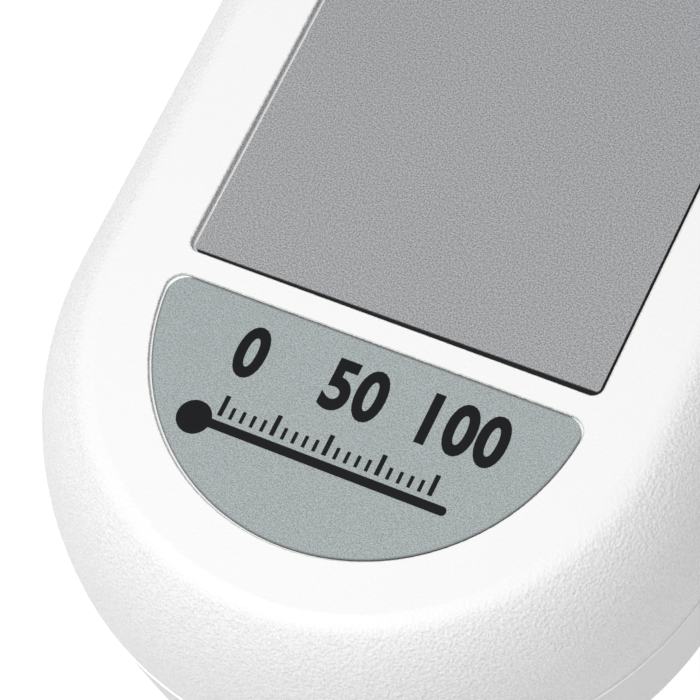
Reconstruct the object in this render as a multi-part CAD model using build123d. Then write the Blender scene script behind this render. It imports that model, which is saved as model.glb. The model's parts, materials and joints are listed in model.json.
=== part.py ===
from build123d import *
from math import atan, cos, degrees, radians, sin, tan
import os

# Handheld probe thermometer in a two-part moulded case, lying on its back.
# Millimetres. X is the width, +Y points to the probe socket, +Z is the face.
# The origin is under the middle of the instrument, on the surface it rests on.

# Case
overall_length = 141.0       # lower end to the front of the socket flange
case_width = 71.0
case_thickness = 32.0
side_wall = 2.5
face_wall = 3.0
back_wall = 2.5
crown_width = 8.3            # how far the rounded front edge reaches in over the face
crown_depth = 16.6           # how far it reaches down, to the parting line
rear_round = 4.1             # radius of the back edge
rear_draft = 4.5             # degrees that the rear wall leans in
top_corner = 24.0            # outline radius of the two upper corners
parting_step = 0.18          # how far the rear half stands out past the front half

# Fits
moulding_gap = 0.15          # round a piece that drops into a moulded recess
seat_gap = 0.05              # round a piece that is pushed or glued into its seat
thread_gap = 0.02            # round a screw in its pilot hole
slip_gap = 0.10              # round a piece that slides in its hole
shank_gap = 0.20             # round a screw in a hole that it passes through
head_gap = 0.30              # round a screw head in its well
weld = 0.5                   # how far two shapes of one piece run into each other

# Joint between the case halves
groove_width = 1.1
groove_depth = 1.2
tongue_height = 0.6

# Case screws
screw_edge = 9.0             # from the widest line of the case to the screws
lower_screw_offset = -3.0    # from the centre of the round end
upper_screw_offset = 0.5     # from the centres of the upper corners
case_screw_thread = 3.0
case_screw_head = 5.6
case_screw_head_height = 2.2
case_screw_length = 12.0
case_screw_clamp = 6.4       # plastic under the head, up to the parting line
case_boss = 9.0
case_post = 7.0

# Recess and grey panel on the face
pocket_side_margin = 3.75    # beside the display window
pocket_depth = 0.95
pocket_corner = 1.1
pocket_rim_round = 0.25
pocket_above_label = 2.66
pocket_top_margin = 13.8
backing_thickness = 0.20
overlay_thickness = 0.25
overlay_left_gap = 0.46
overlay_right_gap = 0.36
overlay_top_gap = 0.45
overlay_low_gap_left = 0.42  # the lower edge is cut a little out of square
overlay_low_gap_right = 0.70
overlay_corner = 0.35

# Keys
key_width = 10.5
key_height = 8.0
key_corner = 2.2
key_pitch = 13.5
key_below_window = 15.0      # from the window's lower edge to the middle of the keys
key_proud = 0.45
key_flange = 0.8
key_flange_thickness = 0.33
key_gap = 0.18
key_edge_round = 0.2
dome_width = 7.0
dome_height = 0.30           # also how far a key travels
circuit_thickness = 0.20
key_well_depth = 1.0
well_side_margin = 0.7       # from the outer keys to the sides of the well
circuit_end_margin = 0.9
tail_width = 8.0
tail_slot_width = 0.8
connector_height = 4.0
connector_depth = 3.5
connector_grip = 1.5
connector_side = 2.0

# Display
window_width = 36.0
window_height = 19.0
window_top_margin = 5.0      # from the top of the recess
window_corner = 1.2
window_flange = 2.0
window_flange_thickness = 1.0
gasket_thickness = 0.6
gasket_width = 1.4
glass_plate = 1.1
glass_side_margin = 2.0
glass_end_margin = 3.0
zebra_width = 2.2
zebra_height = 5.3
reflector_thickness = 0.3
lcd_frame_wall = 1.2

# Name label on the round end
label_radius = 21.8
label_corner = 2.1
label_thickness = 0.28
label_recess_depth = 0.40
label_recess_corner = 1.8
label_rim_round = 0.12
label_side_gap = 0.20
label_chord_gap = 0.08
label_lay_offset = 0.12      # the label lies a little to the right in its recess

# Circuit board
board_side_margin = 0.8      # beside the display frame
board_thickness = 1.6
board_corner = 1.5
board_screw_thread = 2.5
board_screw_head = 4.5
board_screw_head_height = 1.6
board_screw_length = 6.0
board_post = 5.5
board_screw_x = 18.5
board_screw_low_margin = 5.3
board_screw_high_margin = 3.8

# Parts on the board
parts_gap = 1.0
chip_x = 9.0
chip_height = 1.5
pin_pitch = 1.0
pin_width = 0.45
pin_thickness = 0.25
pin_reach = 1.0              # how far a pin stands out from its chip
pin_root = 0.2               # how far it starts inside
processor_body = 10.0
converter_body = 7.0
crystal_length = 11.0
crystal_width = 4.6
crystal_height = 3.5
capacitor_diameter = 5.0
capacitor_height = 5.4
resistor_length = 2.0
resistor_width = 1.2
resistor_height = 0.6
resistor_pitch = 2.4

# Probe socket
socket_flange_lip = 1.5
socket_flange_thickness = 1.2
socket_barrel = 14.0
socket_length = 13.5
socket_bore = 11.0
socket_bore_depth = 6.0
socket_insert_diameter = 9.6
socket_key_width = 1.6
socket_key_depth = 0.7
land_margin = 0.8
land_depth = 3.5
oring_section = 0.8
nut_wall = 1.75
nut_corner_room = 0.9
nut_thickness = 3.0
contact_circle = 2.8
contact_diameter = 1.8
contact_hole = 1.0
contact_setback = 0.2
contact_tail = 1.5
contact_count = 4
probe_lead = 0.6
probe_lead_bend = 2.4

# Batteries and their tray
cell_diameter = 10.5
cell_length = 44.5
cell_nub = 3.8
cell_nub_height = 0.8
cell_edge = 0.4
cell_gap = 0.7
cell_count = 3
tray_clearance = 0.55
tray_wall = 1.5
tray_roof = 1.4
cell_floor_gap = 0.45
cell_top_gap = 0.65
spring_length = 4.7
spring_wire = 0.5
spring_base_radius = 3.6
spring_tip_radius = 2.3
spring_turns = 3.0
plate_thickness = 0.4
plate_width = 9.0
plate_height = 10.0
tag_width = 3.0
tag_rise = 3.0
battery_lead = 0.8
battery_lead_bend = 3.0
battery_lead_run = 6.0

# Battery door
door_thickness = 2.0
door_land = 1.6
door_side_margin = 4.0
door_end_margin = 10.0
door_corner = 9.0
door_screw_margin = 5.0
door_screw_thread = 3.0
door_screw_head = 5.6
door_screw_head_depth = 1.4
door_screw_length = 8.0
door_screw_sink = 0.15
door_boss = 8.0
insert_diameter = 4.6
insert_length = 5.0
seal_width = 1.2
seal_depth = 0.8
seal_margin = 1.4
tray_centre_offset = 11.0    # from the centre of the round end

# Rear label
rear_label_width = 36.0
rear_label_height = 22.0
rear_label_corner = 2.0
rear_label_thickness = 0.25
rear_label_recess = 0.30

# Places worked out from the sizes above
half_width = case_width / 2
case_low = -overall_length / 2
case_top = overall_length / 2 - socket_flange_thickness
end_y = case_low + half_width
corner_x = half_width - top_corner
corner_y = case_top - top_corner
parting_z = case_thickness - crown_depth
ceiling_z = case_thickness - face_wall

pocket_width = window_width + 2 * pocket_side_margin
pocket_low = end_y + pocket_above_label
pocket_high = case_top - pocket_top_margin
pocket_floor = case_thickness - pocket_depth
backing_top = pocket_floor + backing_thickness
overlay_top = backing_top + overlay_thickness

window_high = pocket_high - window_top_margin
window_low = window_high - window_height
window_y = (window_low + window_high) / 2
key_y = window_low - key_below_window
key_places = [(offset * key_pitch, key_y) for offset in (-1, 0, 1)]
key_names = ["power_key", "hold_key", "max_min_key"]
well_floor = pocket_floor - key_well_depth
circuit_top = well_floor + circuit_thickness
circuit_half_height = key_height / 2 + key_flange + circuit_end_margin
tail_y = key_y - circuit_half_height

glass_top = ceiling_z - gasket_thickness
glass_width = window_width + 2 * glass_side_margin
glass_height = window_height + 2 * glass_end_margin
zebra_top = glass_top - glass_plate
board_top = zebra_top - zebra_height
board_low = pocket_low
board_width = glass_width + 2 * (lcd_frame_wall + board_side_margin)
board_high = window_y + glass_height / 2 + lcd_frame_wall + seat_gap
board_screw_places = [
    (side * board_screw_x, y)
    for side in (-1, 1)
    for y in (board_low + board_screw_low_margin,
              window_y - glass_height / 2 - lcd_frame_wall - board_screw_high_margin)
]

case_screw_places = [
    (side * (half_width - screw_edge), y)
    for side in (-1, 1)
    for y in (end_y + lower_screw_offset, corner_y + upper_screw_offset)
]
case_screw_seat = parting_z - case_screw_clamp

cell_pitch = cell_diameter + cell_gap
tray_width = cell_diameter + (cell_count - 1) * cell_pitch + 2 * tray_clearance
tray_length = cell_length + spring_length + 2 * plate_thickness
tray_y = end_y + tray_centre_offset
tray_low = tray_y - tray_length / 2
tray_high = tray_y + tray_length / 2
tray_ceiling = door_thickness + cell_floor_gap + cell_diameter + cell_top_gap
tray_top = tray_ceiling + tray_roof
cell_z = door_thickness + cell_floor_gap + cell_diameter / 2
cell_places = [(index - (cell_count - 1) / 2) * cell_pitch for index in range(cell_count)]
door_width = tray_width + 2 * door_side_margin
door_length = tray_length + 2 * door_end_margin
door_screw_places = [
    (0, tray_y - door_length / 2 + door_screw_margin),
    (0, tray_y + door_length / 2 - door_screw_margin),
]

socket_flange = socket_barrel + 2 * socket_flange_lip
nut_flats = socket_barrel + 2 * nut_wall
socket_face = overall_length / 2
socket_back = socket_face - socket_length
insert_face = socket_face - socket_bore_depth
contact_back = socket_back - contact_tail
contact_places = [
    (contact_circle * cos(radians(45 + 360 / contact_count * index)),
     parting_z + contact_circle * sin(radians(45 + 360 / contact_count * index)))
    for index in range(contact_count)
]


# Plain shapes by their limits
def block(x_low, x_high, y_low, y_high, z_low, z_high):
    centre = ((x_low + x_high) / 2, (y_low + y_high) / 2, (z_low + z_high) / 2)
    return Pos(*centre) * Box(x_high - x_low, y_high - y_low, z_high - z_low)


def rounded_plate(x, y, width, height, corner, z_low, z_high):
    outline = Pos(x, y, z_low) * RectangleRounded(width, height, corner)
    return extrude(outline, amount=z_high - z_low)


def post(x, y, diameter, z_low, z_high):
    return Pos(x, y, (z_low + z_high) / 2) * Cylinder(diameter / 2, z_high - z_low)


def lengthwise_rod(x, z, diameter, y_low, y_high):
    rod = Rot(90, 0, 0) * Cylinder(diameter / 2, y_high - y_low)
    return Pos(x, (y_low + y_high) / 2, z) * rod


def joined(shapes):
    total = shapes[0]
    for shape in shapes[1:]:
        total = total + shape
    return total


def as_group(shapes):
    return Compound(children=[shape if isinstance(shape, Solid) else shape.solid() for shape in shapes])


# Case outline seen from the face, drawn in by an inset
def case_outline(inset):
    side = half_width - inset
    corner = top_corner - inset
    top = case_top - inset
    lines = [
        Line((side, end_y), (side, corner_y)),
        CenterArc((corner_x, corner_y), corner, 0, 90),
        Line((corner_x, top), (-corner_x, top)),
        CenterArc((-corner_x, corner_y), corner, 90, 90),
        Line((-side, corner_y), (-side, end_y)),
        CenterArc((0, end_y), side, 180, 180),
    ]
    return make_face(Curve() + lines)


def rim_ring(outer_inset, inner_inset, z_low, z_high):
    ring = case_outline(outer_inset) - case_outline(inner_inset)
    return extrude(Pos(0, 0, z_low) * ring, amount=z_high - z_low)


# One side of the case section, from its middle out to a reach, in the XZ plane
def half_section(reach, inset, low, high):
    edge = reach - inset
    step = parting_step if inset == 0 else 0
    wall_low = low + rear_round - inset
    lean = (parting_z - wall_low) * tan(radians(rear_draft))
    foot = edge - lean
    round_x = foot - (rear_round - inset)
    crown_x = edge - (crown_width - inset)
    lines = [
        Line((0, low), (round_x, low)),
        CenterArc((round_x, wall_low), rear_round - inset, 270, 90),
        Line((foot, wall_low), (edge, parting_z)),
    ]
    if step:
        lines.append(Line((edge, parting_z), (edge - step, parting_z)))
    lines += [
        EllipticalCenterArc((crown_x, parting_z), crown_width - inset - step, high - parting_z,
                            0, arc_size=90),
        Line((crown_x, high), (0, high)),
        Line((0, high), (0, low)),
    ]
    return Plane.XZ * make_face(Curve() + lines)


def case_form(inset, low, high):
    wide = half_section(half_width, inset, low, high)
    narrow = half_section(top_corner, inset, low, high)
    round_end = Pos(0, end_y, 0) * Rot(0, 0, 180) * revolve(wide, Axis.Z, 180)
    side = extrude(Pos(0, corner_y, 0) * wide, amount=corner_y - end_y)
    corner = Pos(corner_x, corner_y, 0) * revolve(narrow, Axis.Z, 90)
    bridge = Pos(-corner_x, corner_y, 0) * Rot(0, 0, 90) * extrude(narrow, amount=2 * corner_x)
    core = block(-corner_x, corner_x, corner_y - 1, corner_y, low, high)
    halves = [side, mirror(side, Plane.YZ), corner, mirror(corner, Plane.YZ)]
    return joined([round_end, bridge, core] + halves)


# Shapes that both case halves share
case_body = case_form(0, 0, case_thickness)
case_cavity = case_form(side_wall, back_wall, ceiling_z)
front_zone = block(-case_width, case_width, -overall_length, overall_length, parting_z, case_thickness + 1)
rear_zone = block(-case_width, case_width, -overall_length, overall_length, -1, parting_z)

land_diameter = socket_flange + 2 * land_margin
socket_land = lengthwise_rod(0, parting_z, land_diameter, case_top - land_depth, case_top)
socket_hole = lengthwise_rod(0, parting_z, socket_barrel + 2 * moulding_gap,
                             case_top - 2 * land_depth, case_top + 1)
oring_seat = lengthwise_rod(
    0, parting_z, socket_barrel + 2 * moulding_gap + 2 * (oring_section + seat_gap),
    case_top - oring_section, case_top + 1)
land_zone = lengthwise_rod(0, parting_z, land_diameter, case_top - 2 * land_depth, case_top + 1)

nut_room = lengthwise_rod(
    0, parting_z, nut_flats / cos(radians(30)) + nut_corner_room,
    case_top - land_depth - nut_thickness - 1, case_top - land_depth)

wall_middle = side_wall / 2
groove_outer = wall_middle - groove_width / 2
groove_inner = wall_middle + groove_width / 2


# Rounds the edges of a recess that lie on the flat face between two heights
def round_rim(shell, y_low, y_high, radius):
    face = shell.faces().filter_by(Plane.XY).sort_by(Axis.Z)[-1]
    rim = [
        edge for wire in face.inner_wires() for edge in wire.edges()
        if y_low - weld < edge.center().Y < y_high + weld
    ]
    return fillet(rim, radius)


def make_front_case():
    shell = (case_body - case_cavity) & front_zone
    for x, y in case_screw_places:
        shell = shell + (post(x, y, case_post, parting_z, ceiling_z + weld) & case_body)
    for x, y in board_screw_places:
        shell = shell + post(x, y, board_post, board_top, ceiling_z + weld)
    shell = shell + (socket_land & front_zone)
    tongue = rim_ring(groove_outer + seat_gap, groove_inner - seat_gap,
                      parting_z - tongue_height, parting_z)
    shell = shell + (tongue - land_zone)

    pocket_height = pocket_high - pocket_low
    pocket_y = (pocket_high + pocket_low) / 2
    shell = shell - rounded_plate(0, pocket_y, pocket_width, pocket_height, pocket_corner,
                                  pocket_floor, case_thickness + 1)
    recess = label_outline(label_radius + label_side_gap, label_chord_gap, label_recess_corner)
    shell = shell - extrude(Pos(0, 0, case_thickness - label_recess_depth) * recess, amount=2)
    shell = round_rim(shell, pocket_low, pocket_high, pocket_rim_round)
    shell = round_rim(shell, case_low, end_y + pocket_above_label / 2, label_rim_round)
    shell = shell - rounded_plate(0, window_y,
                                  window_width + 2 * window_flange + 2 * seat_gap,
                                  window_height + 2 * window_flange + 2 * seat_gap,
                                  window_corner + window_flange,
                                  pocket_floor - window_flange_thickness, case_thickness)
    shell = shell - rounded_plate(0, window_y, window_width + 1, window_height + 1, window_corner,
                                  ceiling_z - 1, case_thickness)
    shell = shell - block(-well_half_width, well_half_width,
                          key_y - circuit_half_height - moulding_gap,
                          key_y + circuit_half_height + moulding_gap,
                          well_floor, case_thickness)
    shell = shell - block(-tail_width / 2 - moulding_gap, tail_width / 2 + moulding_gap,
                          tail_y - moulding_gap, tail_y + tail_slot_width, ceiling_z - 1, case_thickness)

    pilot_depth = case_screw_length - case_screw_clamp + 1
    for x, y in case_screw_places:
        shell = shell - post(x, y, case_screw_thread + 2 * thread_gap, parting_z - 1, parting_z + pilot_depth)
    for x, y in board_screw_places:
        shell = shell - post(x, y, board_screw_thread + 2 * thread_gap,
                             board_top - 1, board_top + board_screw_length - board_thickness + 0.5)
    return shell - socket_hole - oring_seat - nut_room


def make_rear_case():
    shell = (case_body - case_cavity) & rear_zone
    land_height = door_thickness + door_land
    land = rounded_plate(0, tray_y, door_width + 2 * door_land, door_length + 2 * door_land,
                         door_corner + door_land, 0, land_height)
    tray = block(-tray_width / 2 - tray_wall, tray_width / 2 + tray_wall,
                 tray_low - tray_wall, tray_high + tray_wall, back_wall / 2, tray_top)
    shell = shell + (land & case_body) + tray
    for x, y in door_screw_places:
        shell = shell + post(x, y, door_boss, back_wall / 2, land_height + insert_length + door_land)
    for x, y in case_screw_places:
        shell = shell + (post(x, y, case_boss, 0, parting_z) & case_body)
    shell = shell + (socket_land & rear_zone)

    shell = shell - rounded_plate(0, tray_y, door_width, door_length, door_corner, -1, door_thickness)
    shell = shell - block(-tray_width / 2, tray_width / 2, tray_low, tray_high, -1, tray_ceiling)
    for x, y in tag_places:
        shell = shell - block(x - tag_width / 2 - moulding_gap, x + tag_width / 2 + moulding_gap,
                              y - plate_thickness / 2 - moulding_gap, y + plate_thickness / 2 + moulding_gap,
                              tray_ceiling - 1, tray_top + 1)
    for x, y in door_screw_places:
        shell = shell - post(x, y, insert_diameter + 2 * thread_gap, 0, land_height + insert_length)
    for x, y in case_screw_places:
        shell = shell - post(x, y, case_screw_head + 2 * head_gap, -1, case_screw_seat)
        shell = shell - post(x, y, case_screw_thread + 2 * shank_gap, -1, parting_z + 1)
    shell = shell - rounded_plate(
        0, rear_label_y, rear_label_width + 2 * moulding_gap, rear_label_height + 2 * moulding_gap,
        rear_label_corner, -1, rear_label_recess)
    groove = rim_ring(groove_outer, groove_inner, parting_z - groove_depth, parting_z + 1)
    return shell - (groove - land_zone) - socket_hole - oring_seat - nut_room


def make_case_seal():
    seal = rim_ring(groove_outer + seat_gap, groove_inner - seat_gap,
                    parting_z - groove_depth, parting_z - tongue_height - thread_gap)
    return seal - land_zone


# Cross-drive recess of a screw, opening downwards at a height
def cross_recess(x, y, z, span, depth):
    arm = span * 0.24
    flat = block(x - span / 2, x + span / 2, y - arm / 2, y + arm / 2, z - 1, z + depth)
    upright = block(x - arm / 2, x + arm / 2, y - span / 2, y + span / 2, z - 1, z + depth)
    return flat + upright


# Pan-head screw pointing up, with its head's upper face on a seat
def pan_screw(x, y, seat, thread, length, head, head_height):
    cap = post(x, y, head, seat - head_height, seat)
    rim = cap.edges().group_by(Axis.Z)[0]
    cap = fillet(rim, head_height * 0.4)
    shank = post(x, y, thread, seat, seat + length)
    tip = chamfer(shank.edges().group_by(Axis.Z)[-1], thread * 0.15)
    return cap + tip - cross_recess(x, y, seat - head_height, head * 0.6, head_height * 0.55)


def make_case_screws():
    return as_group([
        pan_screw(x, y, case_screw_seat, case_screw_thread, case_screw_length,
                  case_screw_head, case_screw_head_height)
        for x, y in case_screw_places
    ])


def make_board_screws():
    seat = board_top - board_thickness
    return as_group([
        pan_screw(x, y, seat, board_screw_thread, board_screw_length,
                  board_screw_head, board_screw_head_height)
        for x, y in board_screw_places
    ])


# Half disc of the name label: a straight top edge over a round lower edge
def label_outline(radius, chord_rise, corner):
    arc = ThreePointArc((-radius, chord_rise), (0, -radius), (radius, chord_rise))
    face = make_face(Curve() + [arc, Line((radius, chord_rise), (-radius, chord_rise))])
    return Pos(0, end_y, 0) * fillet(face.vertices(), corner)


def make_name_label():
    floor = case_thickness - label_recess_depth
    return extrude(Pos(label_lay_offset, 0, floor) * label_outline(label_radius, 0, label_corner),
                   amount=label_thickness)


# Grey film and the black layer under it
def panel_sheet(left, right, low_left, low_right, high, corner, z_low, z_high):
    outline = Polyline((left, low_left), (right, low_right), (right, high), (left, high), close=True)
    sheet = fillet(make_face(outline).vertices(), corner)
    return extrude(Pos(0, 0, z_low) * sheet, amount=z_high - z_low)


def key_openings(margin, z_low, z_high):
    return joined([
        rounded_plate(x, y, key_width + 2 * margin, key_height + 2 * margin, key_corner + margin,
                      z_low, z_high)
        for x, y in key_places
    ])


def window_opening(margin, z_low, z_high):
    return rounded_plate(0, window_y, window_width + 2 * margin, window_height + 2 * margin,
                         window_corner + margin, z_low, z_high)


panel_left = -pocket_width / 2 + overlay_left_gap


def make_overlay_backing():
    sheet = panel_sheet(panel_left, pocket_width / 2 - seat_gap, pocket_low + seat_gap,
                        pocket_low + seat_gap, pocket_high - seat_gap, pocket_corner - seat_gap,
                        pocket_floor, backing_top)
    sheet = sheet - key_openings(key_flange + key_gap, pocket_floor - 1, backing_top + 1)
    return sheet - window_opening(seat_gap, pocket_floor - 1, backing_top + 1)


def make_keypad_overlay():
    sheet = panel_sheet(panel_left, pocket_width / 2 - overlay_right_gap,
                        pocket_low + overlay_low_gap_left, pocket_low + overlay_low_gap_right,
                        pocket_high - overlay_top_gap, overlay_corner, backing_top, overlay_top)
    sheet = sheet - key_openings(key_gap, backing_top - 1, overlay_top + 1)
    return sheet - window_opening(seat_gap, backing_top - 1, overlay_top + 1)


# Keys: a cap through the film and a flange under it
key_flange_top = backing_top - seat_gap
key_flange_low = key_flange_top - key_flange_thickness
well_half_width = key_pitch + key_width / 2 + key_flange + well_side_margin


def make_key(x, y):
    cap = rounded_plate(x, y, key_width, key_height, key_corner, key_flange_low, overlay_top + key_proud)
    cap = fillet(cap.edges().group_by(Axis.Z)[-1], key_edge_round)
    flange = rounded_plate(x, y, key_width + 2 * key_flange, key_height + 2 * key_flange,
                           key_corner + key_flange, key_flange_low, key_flange_top)
    return cap + flange


def make_snap_domes():
    ball = ((dome_width / 2) ** 2 + dome_height ** 2) / (2 * dome_height)
    domes = []
    for x, y in key_places:
        slab = post(x, y, dome_width + 1, circuit_top, circuit_top + dome_height + 1)
        domes.append(Pos(x, y, circuit_top + dome_height - ball) * Sphere(ball) & slab)
    return as_group(domes)


def make_keypad_circuit():
    half_reach = well_half_width - moulding_gap
    sheet = block(-half_reach, half_reach, key_y - circuit_half_height,
                  key_y + circuit_half_height, well_floor, circuit_top)
    tail = block(-tail_width / 2, tail_width / 2, tail_y, tail_y + circuit_thickness,
                 board_top + connector_grip, circuit_top)
    return sheet + tail


def make_tail_connector():
    middle = tail_y + circuit_thickness / 2
    housing = block(-tail_width / 2 - connector_side, tail_width / 2 + connector_side,
                    middle - connector_depth / 2, middle + connector_depth / 2,
                    board_top, board_top + connector_height)
    slot = block(-tail_width / 2 - seat_gap, tail_width / 2 + seat_gap,
                 middle - circuit_thickness, middle + circuit_thickness,
                 board_top + connector_grip, board_top + connector_height + 1)
    return housing - slot


# Display stack
def make_display_window():
    flange_low = pocket_floor - window_flange_thickness
    flange = rounded_plate(0, window_y, window_width + 2 * window_flange,
                           window_height + 2 * window_flange, window_corner + window_flange,
                           flange_low, pocket_floor)
    return flange + window_opening(-seat_gap, flange_low, overlay_top - seat_gap)


def make_display_gasket():
    outer = rounded_plate(0, window_y, glass_width, glass_height, window_corner, glass_top, ceiling_z)
    inner = rounded_plate(0, window_y, glass_width - 2 * gasket_width, glass_height - 2 * gasket_width,
                          window_corner, glass_top - 1, ceiling_z + 1)
    return outer - inner


rear_glass_height = glass_height - 2 * (zebra_width + 0.5)


def glass_block(width, height, z_low, z_high):
    return block(-width / 2, width / 2, window_y - height / 2, window_y + height / 2, z_low, z_high)


def make_lcd_glass():
    front = glass_block(glass_width, glass_height, zebra_top, glass_top)
    return front + glass_block(glass_width, rear_glass_height, zebra_top - glass_plate, zebra_top)


def make_lcd_reflector():
    top = zebra_top - glass_plate
    return glass_block(glass_width - 2, rear_glass_height - 1, top - reflector_thickness, top)


zebra_y_offset = glass_height / 2 - zebra_width / 2 - 0.15
zebra_reach = glass_width / 2 - 2


def make_zebra_strips():
    return as_group([
        block(-zebra_reach, zebra_reach, y - zebra_width / 2, y + zebra_width / 2, board_top, zebra_top)
        for y in (window_y - zebra_y_offset, window_y + zebra_y_offset)
    ])


def make_lcd_frame():
    width = glass_width + 2 * seat_gap
    height = glass_height + 2 * seat_gap
    frame = glass_block(width + 2 * lcd_frame_wall, height + 2 * lcd_frame_wall, board_top, glass_top - 0.2)
    frame = frame - glass_block(width, height, zebra_top, glass_top + 1)
    frame = frame - glass_block(width, rear_glass_height + 2 * seat_gap,
                                zebra_top - glass_plate - reflector_thickness, glass_top)
    frame = frame - glass_block(width - 4, rear_glass_height - 4, board_top - 1, glass_top)
    for y in (window_y - zebra_y_offset, window_y + zebra_y_offset):
        frame = frame - block(-zebra_reach - seat_gap, zebra_reach + seat_gap,
                              y - zebra_width / 2 - seat_gap, y + zebra_width / 2 + seat_gap,
                              board_top - 1, glass_top)
    return frame


# Circuit board and what stands on it
def make_main_board():
    height = board_high - board_low
    board = rounded_plate(0, (board_low + board_high) / 2, board_width, height, board_corner,
                          board_top - board_thickness, board_top)
    for x, y in board_screw_places:
        board = board - post(x, y, board_screw_thread + 2 * shank_gap,
                             board_top - board_thickness - 1, board_top + 1)
    return board


def make_chip(x, y, body, pins):
    half = body / 2
    chip = block(x - half, x + half, y - half, y + half, board_top + 0.1, board_top + chip_height)
    pin_top = board_top + pin_thickness
    for index in range(pins):
        along = (index - (pins - 1) / 2) * pin_pitch
        left, right = along - pin_width / 2, along + pin_width / 2
        for flip in (-1, 1):
            low, high = sorted((flip * (half - pin_root), flip * (half + pin_reach)))
            chip = chip + block(x + low, x + high, y + left, y + right, board_top, pin_top)
            chip = chip + block(x + left, x + right, y + low, y + high, board_top, pin_top)
    return chip


def make_crystal(x, y):
    can = rounded_plate(x, y, crystal_length, crystal_width, crystal_width * 0.48,
                        board_top, board_top + crystal_height)
    return fillet(can.edges().group_by(Axis.Z)[-1], 0.5)


def make_capacitors(places):
    cans = []
    for x, y in places:
        can = post(x, y, capacitor_diameter, board_top, board_top + capacitor_height)
        cans.append(fillet(can.edges().group_by(Axis.Z)[-1], 0.5))
    return as_group(cans)


def make_resistors(x, y, count):
    middles = [y + index * resistor_pitch for index in range(count)]
    return as_group([
        block(x - resistor_length / 2, x + resistor_length / 2,
              middle - resistor_width / 2, middle + resistor_width / 2,
              board_top, board_top + resistor_height)
        for middle in middles
    ])


# Probe socket in the upper end
def make_socket_shell():
    barrel = lengthwise_rod(0, parting_z, socket_barrel, socket_back, case_top)
    flange = lengthwise_rod(0, parting_z, socket_flange, case_top, socket_face)
    flange = chamfer(flange.edges().group_by(Axis.Y)[-1], 0.3)
    bore = lengthwise_rod(0, parting_z, socket_bore, insert_face, socket_face + 1)
    bore = bore + lengthwise_rod(0, parting_z, socket_insert_diameter + 2 * thread_gap,
                                 socket_back - 1, socket_face)
    key_top = parting_z + socket_bore / 2 + socket_key_depth
    keyway = block(-socket_key_width / 2, socket_key_width / 2, insert_face, socket_face + 1,
                   parting_z, key_top)
    return barrel + flange - bore - keyway


def make_socket_insert():
    body = lengthwise_rod(0, parting_z, socket_insert_diameter, socket_back, insert_face)
    for x, z in contact_places:
        body = body - lengthwise_rod(x, z, contact_diameter + 2 * thread_gap,
                                     socket_back - 1, insert_face + 1)
    return body


def make_socket_contacts():
    contacts = []
    front = insert_face - contact_setback
    for x, z in contact_places:
        pin = lengthwise_rod(x, z, contact_diameter, contact_back, front)
        contacts.append(pin - lengthwise_rod(x, z, contact_hole, front - 5, front + 1))
    return as_group(contacts)


def make_socket_nut():
    inner_face = case_top - land_depth
    hexagon = RegularPolygon(nut_flats / 2, 6, major_radius=False)
    blank = extrude(Plane.XZ * hexagon, amount=nut_thickness)
    nut = Pos(0, inner_face, parting_z) * blank
    return nut - lengthwise_rod(0, parting_z, socket_barrel + 2 * thread_gap,
                                inner_face - nut_thickness - 1, inner_face + 1)


def make_socket_oring():
    ring_radius = socket_barrel / 2 + moulding_gap + seat_gap / 2 + oring_section / 2
    ring = Rot(90, 0, 0) * Torus(ring_radius, oring_section / 2 - thread_gap)
    return Pos(0, case_top - oring_section / 2, parting_z) * ring


# Round wire along straight runs joined by arcs
def make_wire(points, bend, diameter):
    path = FilletPolyline(*points, radius=bend)
    return sweep((path ^ 0) * Circle(diameter / 2), path=path)


def make_probe_leads():
    board_back = board_top - board_thickness
    leads = []
    for x, z in contact_places:
        reach = probe_lead_bend + 0.3 + (1.6 if z < parting_z else 0)
        corner = (x, contact_back - reach, z)
        leads.append(make_wire([(x, contact_back, z), corner, (x, contact_back - reach, board_back)],
                               min(probe_lead_bend, (board_back - z) * 0.9), probe_lead))
    return as_group(leads)


# Battery tray
def cell_points_up(index):
    return index % 2 == 0


tag_places = [
    (cell_places[0], tray_high - plate_thickness / 2),
    (cell_places[-1], tray_low + plate_thickness / 2),
]


def make_cell(index):
    can_length = cell_length - cell_nub_height
    can = Pos(0, 0, can_length / 2) * Cylinder(cell_diameter / 2, can_length)
    can = fillet(can.edges().group_by(Axis.Z)[-1], cell_edge)
    nub = Pos(0, 0, can_length + cell_nub_height / 2) * Cylinder(cell_nub / 2, cell_nub_height)
    cell = can + nub
    if cell_points_up(index):
        low_end = tray_high - plate_thickness - cell_length
        return Pos(cell_places[index], low_end, cell_z) * Rot(-90, 0, 0) * cell
    high_end = tray_low + plate_thickness + cell_length
    return Pos(cell_places[index], high_end, cell_z) * Rot(90, 0, 0) * cell


def make_spring(index):
    shrink = (spring_base_radius - spring_tip_radius) / spring_length
    rise = spring_length - spring_wire - 2 * thread_gap
    path = Helix(rise / spring_turns, rise, spring_base_radius, cone_angle=-degrees(atan(shrink)))
    coil = sweep((path ^ 0) * Circle(spring_wire / 2), path=path, is_frenet=True)
    coil = Pos(0, 0, spring_wire / 2 + thread_gap) * coil
    if cell_points_up(index):
        return Pos(cell_places[index], tray_low + plate_thickness, cell_z) * Rot(-90, 0, 0) * coil
    return Pos(cell_places[index], tray_high - plate_thickness, cell_z) * Rot(90, 0, 0) * coil


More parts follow.
